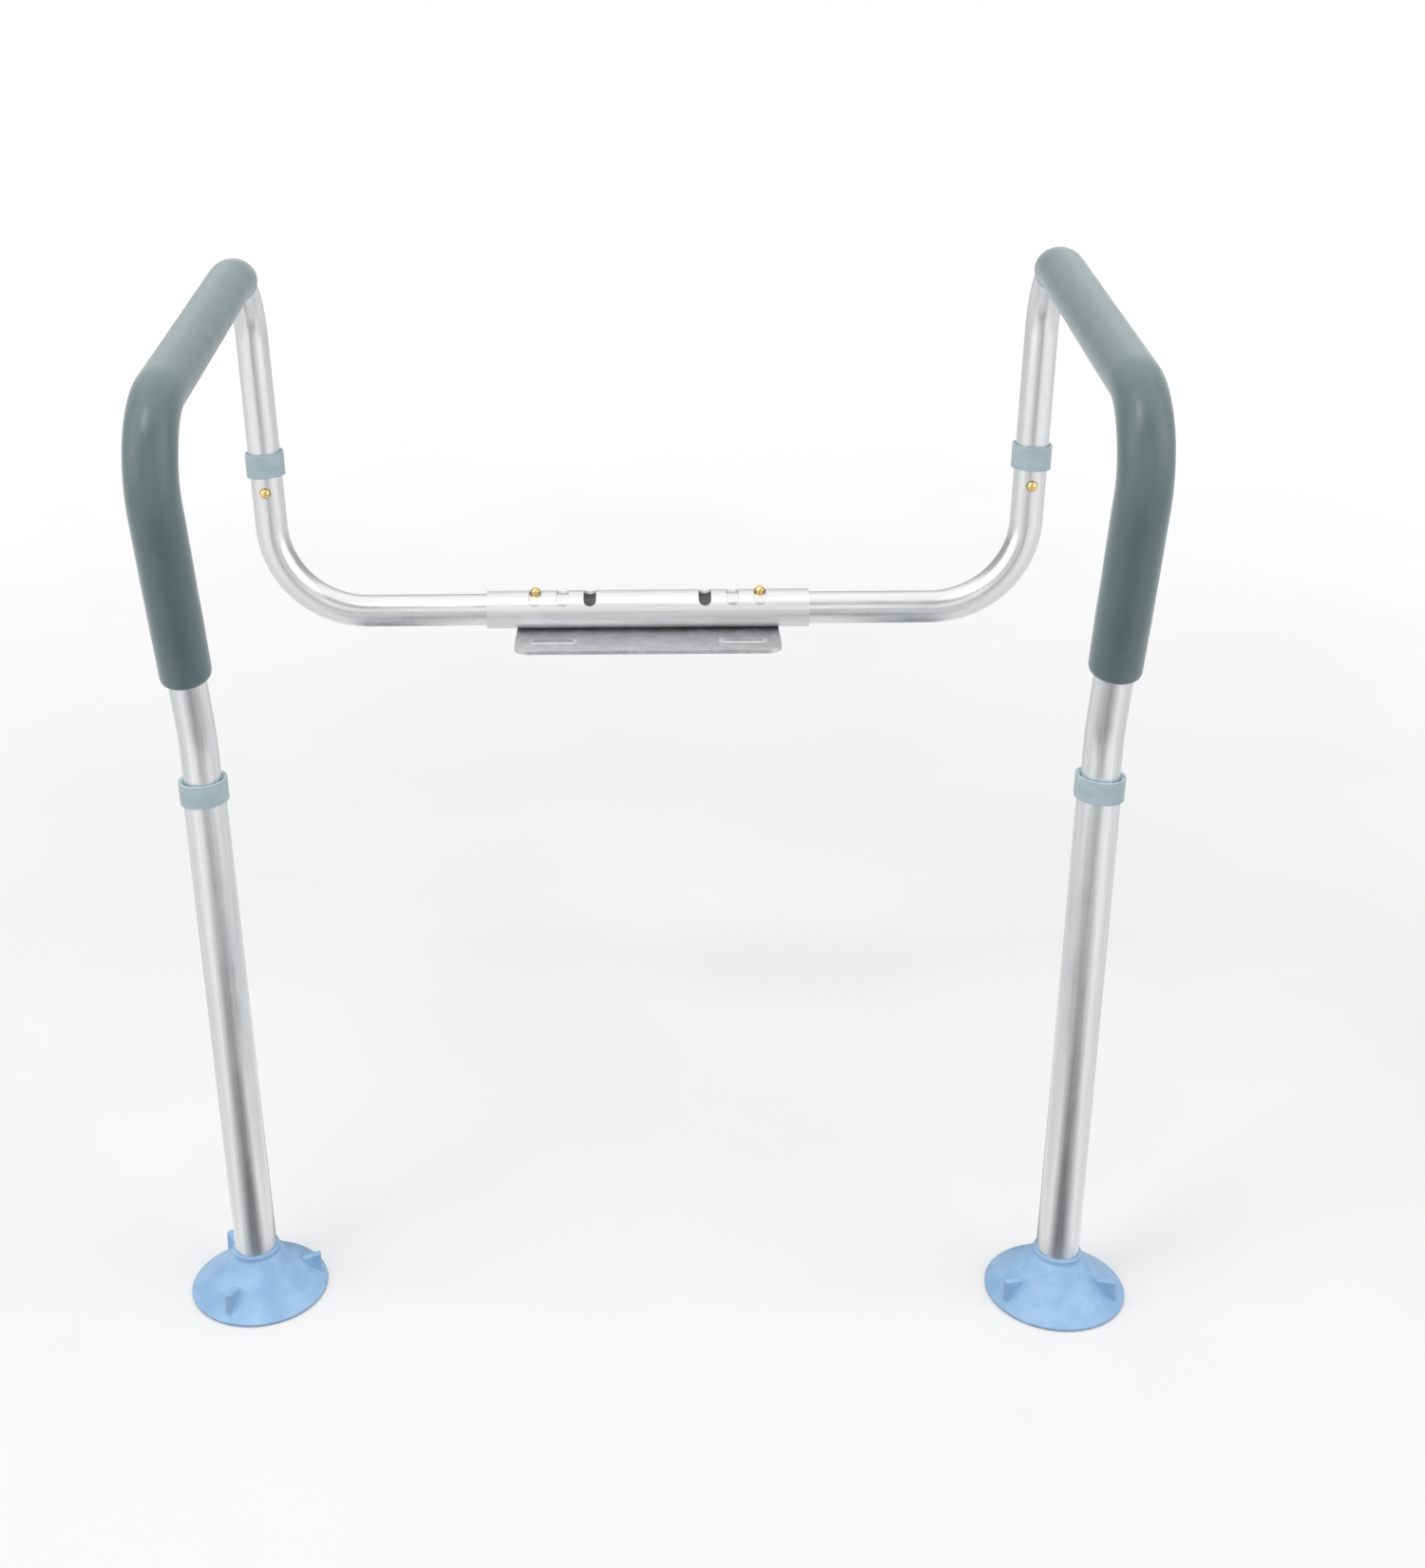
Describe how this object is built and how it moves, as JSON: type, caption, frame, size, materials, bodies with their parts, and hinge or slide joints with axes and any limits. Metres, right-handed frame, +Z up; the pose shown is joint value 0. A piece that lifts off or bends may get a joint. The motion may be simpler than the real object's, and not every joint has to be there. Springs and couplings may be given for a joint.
{
  "type": "toilet safety frame",
  "caption": "Free-legged toilet safety frame: padded bent-tube arms on suction feet, plugged into a slotted crossbar that bolts down with the seat; width and leg height adjust by snap buttons.",
  "frame": {"origin": "on the floor, in the middle of the whole frame's length and width", "axes": "+X to the right seen from the front, +Y to the back towards the cistern, +Z up"},
  "size_m": [0.6586, 0.3894, 0.6891],
  "materials": {
    "drawn_aluminium": "satin drawn and clear anodised",
    "grip_foam": "closed-cell foam with a smooth matte skin",
    "collar_plastic": "moulded, fine matte",
    "foot_rubber": "soft moulded rubber, satin",
    "brass": "polished dome",
    "spring_steel": "blued spring strip",
    "zinc_steel": "bright zinc plate"
  },
  "bodies": {
    "left_leg": {"left_leg_tube": "drawn_aluminium", "left_leg_collar": "collar_plastic", "left_foot": "foot_rubber", "left_foot_washer": "zinc_steel"},
    "left_arm": {"left_lower_bow": "drawn_aluminium", "left_arm_tube": "drawn_aluminium", "left_arm_grip": "grip_foam", "left_rear_collar": "collar_plastic", "left_width_clip": "spring_steel", "left_post_clip": "spring_steel", "left_leg_clip": "spring_steel"},
    "left_width_button": {"left_width_button": "brass"},
    "left_post_button": {"left_post_button": "brass"},
    "left_leg_button": {"left_leg_button": "brass"},
    "right_leg": {"right_leg_tube": "drawn_aluminium", "right_leg_collar": "collar_plastic", "right_foot": "foot_rubber", "right_foot_washer": "zinc_steel"},
    "right_arm": {"right_lower_bow": "drawn_aluminium", "right_arm_tube": "drawn_aluminium", "right_arm_grip": "grip_foam", "right_rear_collar": "collar_plastic", "right_width_clip": "spring_steel", "right_post_clip": "spring_steel", "right_leg_clip": "spring_steel"},
    "right_width_button": {"right_width_button": "brass"},
    "right_post_button": {"right_post_button": "brass"},
    "right_leg_button": {"right_leg_button": "brass"},
    "crossbar": {"crossbar_tube": "drawn_aluminium", "seat_bracket": "zinc_steel", "bracket_rivets": "zinc_steel"}
  },
  "joints": [
    {"name": "left_leg_height", "type": "slide", "parent": "left_leg", "child": "left_arm", "axis": [-0.0523, 0, 0.9986], "range_m": [0, 0.1], "deforming": ["left_leg_button"]},
    {"name": "left_width", "type": "slide", "parent": "left_arm", "child": "crossbar", "axis": [-1, 0, 0], "range_m": [0, 0.044], "deforming": ["left_width_button"]},
    {"name": "right_width", "type": "slide", "parent": "crossbar", "child": "right_arm", "axis": [-1, 0, 0], "range_m": [0, 0.044], "deforming": ["right_width_button"]},
    {"name": "right_leg_height", "type": "slide", "parent": "right_arm", "child": "right_leg", "axis": [-0.0523, 0, -0.9986], "range_m": [0, 0.1], "deforming": ["right_leg_button"]},
    {"name": "left_width_press", "type": "slide", "parent": "left_arm", "child": "left_width_button", "axis": [0, 0, -1], "range_m": [0, 0.0057], "stiffness_N_per_m": 1200, "springref_m": -0.002, "deforming": ["left_width_clip"]},
    {"name": "left_post_press", "type": "slide", "parent": "left_arm", "child": "left_post_button", "axis": [0, 1, 0], "range_m": [0, 0.0046], "stiffness_N_per_m": 1200, "springref_m": -0.002, "deforming": ["left_post_clip"]},
    {"name": "left_leg_press", "type": "slide", "parent": "left_arm", "child": "left_leg_button", "axis": [0, -1, 0], "range_m": [0, 0.0048], "stiffness_N_per_m": 1200, "springref_m": -0.002, "deforming": ["left_leg_clip"]},
    {"name": "right_width_press", "type": "slide", "parent": "right_arm", "child": "right_width_button", "axis": [0, 0, -1], "range_m": [0, 0.0057], "stiffness_N_per_m": 1200, "springref_m": -0.002, "deforming": ["right_width_clip"]},
    {"name": "right_post_press", "type": "slide", "parent": "right_arm", "child": "right_post_button", "axis": [0, 1, 0], "range_m": [0, 0.0046], "stiffness_N_per_m": 1200, "springref_m": -0.002, "deforming": ["right_post_clip"]},
    {"name": "right_leg_press", "type": "slide", "parent": "right_arm", "child": "right_leg_button", "axis": [0, -1, 0], "range_m": [0, 0.0048], "stiffness_N_per_m": 1200, "springref_m": -0.002, "deforming": ["right_leg_clip"]}
  ],
  "couplings": [
    {"joint": "right_leg_height", "follows": "left_leg_height", "ratio": 1}
  ]
}
